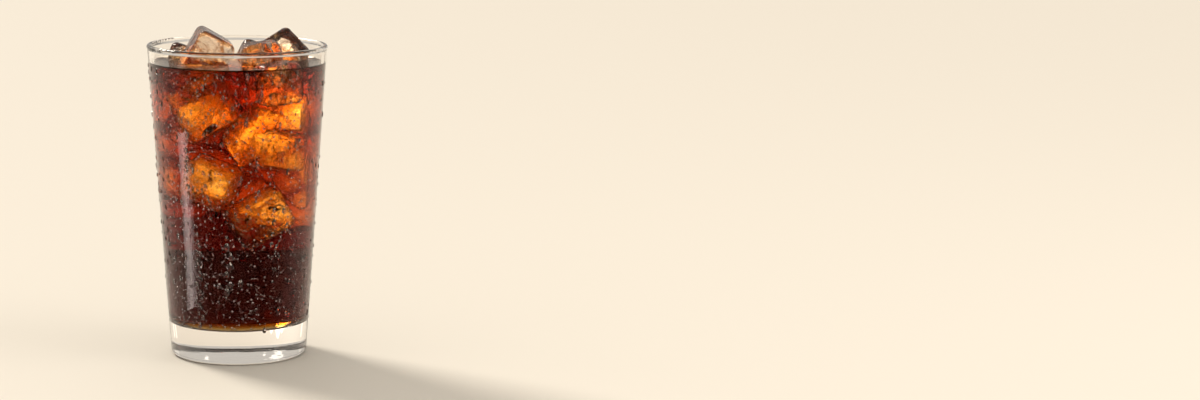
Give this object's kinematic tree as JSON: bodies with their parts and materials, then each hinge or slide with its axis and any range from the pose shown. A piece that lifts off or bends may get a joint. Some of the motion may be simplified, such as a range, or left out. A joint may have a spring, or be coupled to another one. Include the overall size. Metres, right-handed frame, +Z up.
{
  "type": "cold brew coffee over ice in a tall glass",
  "caption": "Tall tapered clear tumbler with a thick floor, filled almost to the lip with dark coffee, with ice cubes standing out of the surface.",
  "frame": {"origin": "centre of the ring that the glass stands on, at the level of the table", "axes": "+Z up along the axis of the glass, -Y towards the front, +X to the right"},
  "size_m": [0.0847, 0.0848, 0.1561],
  "materials": {
    "clear_glass": "clear soda-lime glass with fine condensation on the outside",
    "coffee": "still liquid, black in the deep and amber where it is thin",
    "ice": "wet clear ice with cracks and small bubbles"
  },
  "bodies": {
    "root": {"glass": "clear_glass", "coffee": "coffee", "ice_left_peak": "ice", "ice_right_peak": "ice", "ice_middle": "ice", "ice_front_right": "ice", "ice_back_left": "ice", "ice_back_middle": "ice"}
  },
  "joints": []
}
